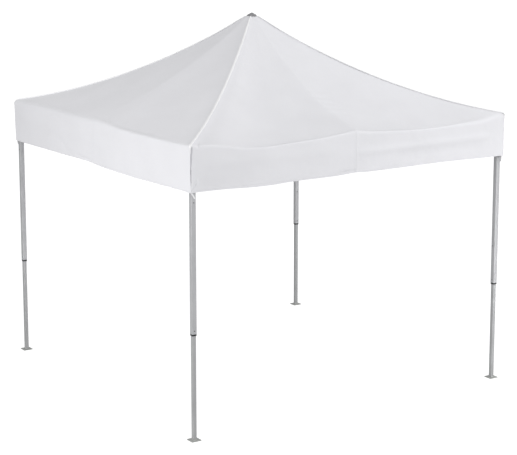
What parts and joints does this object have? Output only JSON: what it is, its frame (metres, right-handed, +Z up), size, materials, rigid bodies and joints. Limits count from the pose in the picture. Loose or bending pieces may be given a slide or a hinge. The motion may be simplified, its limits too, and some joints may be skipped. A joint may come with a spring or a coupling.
{
  "type": "gazebo tent",
  "caption": "Square pop-up gazebo tent: a peaked white fabric canopy with a deep valance on telescopic metal legs with flat feet, spread by a scissor truss and a middle mast",
  "frame": {"origin": "On the ground, under the middle of the tent and its mast.", "axes": "+Z up. +X and +Y run along the sides of the square plan. The front is the -Y side, the wide side that faces the camera in the picture; the left side is -X."},
  "size_m": [3.002, 3.002, 3.0415],
  "materials": {
    "fabric": "white coated polyester weave, matt",
    "leg": "satin silver tube",
    "bar": "satin silver flat tube",
    "foot": "grey steel plate",
    "collar": "near-black moulded",
    "joint": "grey moulded",
    "cap": "dark grey moulded"
  },
  "bodies": {
    "frame": {"outer_leg_front_left": "leg", "collar_front_left": "collar", "top_bracket_front_left": "joint", "slider_front_left": "joint", "outer_leg_front_right": "leg", "collar_front_right": "collar", "top_bracket_front_right": "joint", "slider_front_right": "joint", "outer_leg_back_right": "leg", "collar_back_right": "collar", "top_bracket_back_right": "joint", "slider_back_right": "joint", "outer_leg_back_left": "leg", "collar_back_left": "collar", "top_bracket_back_left": "joint", "slider_back_left": "joint", "upper_joint_front": "joint", "lower_joint_front": "joint", "scissor_front_1": "bar", "scissor_front_2": "bar", "scissor_arm_front": "bar", "roof_panel_front": "fabric", "valance_front": "fabric", "upper_joint_right": "joint", "lower_joint_right": "joint", "scissor_right_1": "bar", "scissor_right_2": "bar", "scissor_arm_right": "bar", "roof_panel_right": "fabric", "valance_right": "fabric", "upper_joint_back": "joint", "lower_joint_back": "joint", "scissor_back_1": "bar", "scissor_back_2": "bar", "scissor_arm_back": "bar", "roof_panel_back": "fabric", "valance_back": "fabric", "upper_joint_left": "joint", "lower_joint_left": "joint", "scissor_left_1": "bar", "scissor_left_2": "bar", "scissor_arm_left": "bar", "roof_panel_left": "fabric", "valance_left": "fabric", "upper_hub": "joint", "lower_hub": "joint", "mast": "leg", "mast_head": "joint", "peak_cap": "cap"},
    "foot_front_left": {"inner_leg_front_left": "leg", "foot_plate_front_left": "foot"},
    "foot_front_right": {"inner_leg_front_right": "leg", "foot_plate_front_right": "foot"},
    "foot_back_right": {"inner_leg_back_right": "leg", "foot_plate_back_right": "foot"},
    "foot_back_left": {"inner_leg_back_left": "leg", "foot_plate_back_left": "foot"}
  },
  "joints": [
    {"name": "telescope_front_left", "type": "slide", "parent": "frame", "child": "foot_front_left", "axis": [0, 0, 1], "range_m": [0, 0.78]},
    {"name": "telescope_front_right", "type": "slide", "parent": "frame", "child": "foot_front_right", "axis": [0, 0, 1], "range_m": [0, 0.78]},
    {"name": "telescope_back_right", "type": "slide", "parent": "frame", "child": "foot_back_right", "axis": [0, 0, 1], "range_m": [0, 0.78]},
    {"name": "telescope_back_left", "type": "slide", "parent": "frame", "child": "foot_back_left", "axis": [0, 0, 1], "range_m": [0, 0.78]}
  ]
}
